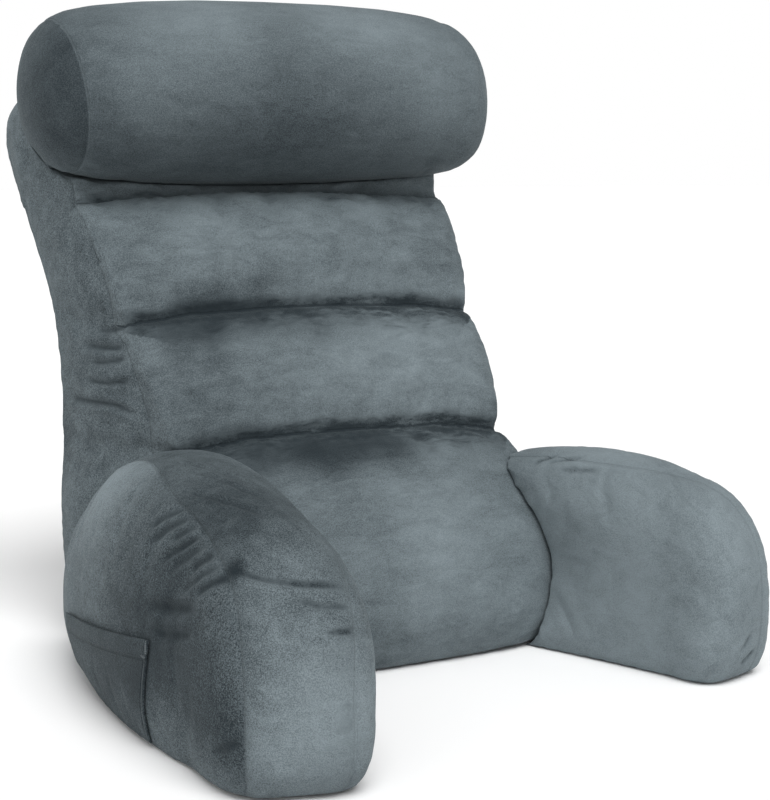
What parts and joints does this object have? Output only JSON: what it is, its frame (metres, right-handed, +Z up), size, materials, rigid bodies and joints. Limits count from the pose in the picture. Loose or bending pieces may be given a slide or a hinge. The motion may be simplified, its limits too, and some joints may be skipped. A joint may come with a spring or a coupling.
{
  "type": "reading pillow with arms",
  "caption": "Upright backrest cushion for sitting up in bed, with sewn horizontal channels, arms to both sides, a neck roll on top and a side pocket.",
  "frame": {"origin": "middle of the back cushion's flat base, on the floor", "axes": "+Z up, -Y the way the sitter faces and the arms reach, +X to the sitter's left"},
  "size_m": [0.5536, 0.7045, 0.5805],
  "materials": {
    "velvet": "short-pile velvet, slate grey"
  },
  "bodies": {
    "root": {"back": "velvet", "arm_left": "velvet", "arm_right": "velvet", "neck_roll": "velvet", "pocket": "velvet"}
  },
  "joints": []
}
